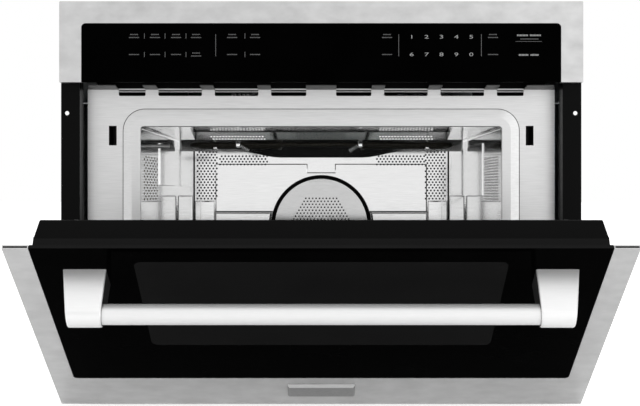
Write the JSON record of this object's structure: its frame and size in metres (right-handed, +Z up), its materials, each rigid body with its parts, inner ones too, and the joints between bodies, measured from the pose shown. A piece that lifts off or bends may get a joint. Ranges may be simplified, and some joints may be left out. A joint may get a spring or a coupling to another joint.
{
  "type": "speed oven",
  "caption": "Built-in speed oven with a drop-down door, round bar handle, steel cavity, grill tube, fan cover and turntable.",
  "frame": {"origin": "centre of the casing's underside, level with the niche floor", "axes": "+X to the right seen from the front, +Y from the front into the oven, +Z up"},
  "size_m": [0.595, 0.8635, 0.46],
  "materials": {
    "galvanised_steel": "satin",
    "plated_screw": "polished",
    "plate_steel": "satin",
    "cavity_steel": "satin",
    "black_enamel": "satin",
    "heater_sheath": "matte",
    "motor_steel": "satin",
    "lamp_glass": "gloss",
    "probe_steel": "satin",
    "mineral_wool": "matte",
    "mica": "matte",
    "magnetron_aluminium": "satin",
    "circuit_board": "satin",
    "black_plastic": "satin",
    "black_glass": "gloss",
    "brushed_trim": "satin",
    "door_steel": "satin",
    "switch_plastic": "satin",
    "hinge_steel": "satin",
    "handle_steel": "satin",
    "door_moulding": "satin",
    "window_glass": "gloss",
    "choke_steel": "satin",
    "latch_plastic": "satin",
    "fan_steel": "satin",
    "tray_glass": "gloss",
    "coupler_plastic": "satin",
    "roller_plastic": "satin"
  },
  "bodies": {
    "oven": {"base_pan": "galvanised_steel", "outer_cover": "galvanised_steel", "rear_panel": "galvanised_steel", "casing_screws": "plated_screw", "front_plate": "plate_steel", "flange_left": "black_enamel", "flange_right": "black_enamel", "cavity_shell": "cavity_steel", "rear_liner": "cavity_steel", "fan_ring": "black_enamel", "fan_grille": "cavity_steel", "convection_housing": "galvanised_steel", "ring_heater": "heater_sheath", "convection_motor": "motor_steel", "grill_heater": "heater_sheath", "grill_clips": "cavity_steel", "lamp_housing": "galvanised_steel", "lamp_bulb": "lamp_glass", "temperature_probe": "probe_steel", "insulation": "mineral_wool", "deck_plate": "galvanised_steel", "waveguide": "galvanised_steel", "waveguide_cover": "mica", "magnetron": "magnetron_aluminium", "inverter_unit": "circuit_board", "power_board": "circuit_board", "air_duct": "galvanised_steel", "blower_housing": "black_plastic", "blower_motor": "motor_steel", "control_glass": "black_glass", "control_trim": "brushed_trim", "control_housing": "black_plastic", "display_module": "circuit_board", "turntable_motor": "motor_steel", "latch_brackets": "black_plastic", "door_switches": "switch_plastic", "hinge_claws": "hinge_steel", "terminal_box": "black_plastic"},
    "door": {"door_trim": "door_steel", "door_glass": "black_glass", "nameplate": "brushed_trim", "handle_bar": "handle_steel", "handle_post_left": "handle_steel", "handle_post_right": "handle_steel", "handle_screws": "plated_screw", "door_frame": "door_moulding", "inner_glass": "window_glass", "door_choke": "choke_steel", "hinge_channels": "hinge_steel", "pivot_pins": "plated_screw"},
    "latch_left": {"latch_left": "latch_plastic"},
    "latch_right": {"latch_right": "latch_plastic"},
    "convection_fan": {"convection_fan": "fan_steel"},
    "blower_wheel": {"blower_wheel": "black_plastic"},
    "turntable": {"turntable_tray": "tray_glass", "drive_coupler": "coupler_plastic"},
    "roller_ring": {"roller_ring": "roller_plastic"},
    "roller_1": {"roller_1": "roller_plastic"},
    "roller_2": {"roller_2": "roller_plastic"},
    "roller_3": {"roller_3": "roller_plastic"}
  },
  "joints": [
    {"name": "door_hinge", "type": "hinge", "parent": "oven", "child": "door", "pos_m": [0, -0.2763, 0.0167], "axis": [1, 0, 0], "range_deg": [-58, 32]},
    {"name": "latch_left_pivot", "type": "hinge", "parent": "door", "child": "latch_left", "pos_m": [-0.2415, -0.51523, 0.18404], "axis": [1, 0, 0], "range_deg": [0, 8], "stiffness_Nm_per_rad": 0.5, "springref_deg": -28.65},
    {"name": "latch_right_pivot", "type": "hinge", "parent": "door", "child": "latch_right", "pos_m": [0.2415, -0.51523, 0.18404], "axis": [1, 0, 0], "range_deg": [0, 8], "stiffness_Nm_per_rad": 0.5, "springref_deg": -28.65},
    {"name": "convection_fan_spin", "type": "hinge", "parent": "oven", "child": "convection_fan", "pos_m": [0, 0.19, 0.195], "axis": [0, 1, 0], "continuous": true},
    {"name": "blower_spin", "type": "hinge", "parent": "oven", "child": "blower_wheel", "pos_m": [0, -0.054, 0.37], "axis": [0, 0, 1], "continuous": true},
    {"name": "turntable_spin", "type": "hinge", "parent": "oven", "child": "turntable", "pos_m": [0, -0.03465, 0.0827], "axis": [0, 0, 1], "continuous": true},
    {"name": "roller_ring_spin", "type": "hinge", "parent": "oven", "child": "roller_ring", "pos_m": [0, -0.03465, 0.0827], "axis": [0, 0, 1], "continuous": true},
    {"name": "roller_1_spin", "type": "hinge", "parent": "roller_ring", "child": "roller_1", "pos_m": [0.132, -0.03465, 0.0827], "axis": [1, 0, 0], "continuous": true},
    {"name": "roller_2_spin", "type": "hinge", "parent": "roller_ring", "child": "roller_2", "pos_m": [-0.066, 0.07967, 0.0827], "axis": [-0.5, 0.866, 0], "continuous": true},
    {"name": "roller_3_spin", "type": "hinge", "parent": "roller_ring", "child": "roller_3", "pos_m": [-0.066, -0.14897, 0.0827], "axis": [-0.5, -0.866, 0], "continuous": true}
  ],
  "couplings": [
    {"joint": "roller_ring_spin", "follows": "turntable_spin", "ratio": 0.5},
    {"joint": "roller_1_spin", "follows": "turntable_spin", "ratio": -8.25},
    {"joint": "roller_2_spin", "follows": "turntable_spin", "ratio": -8.25},
    {"joint": "roller_3_spin", "follows": "turntable_spin", "ratio": -8.25}
  ]
}
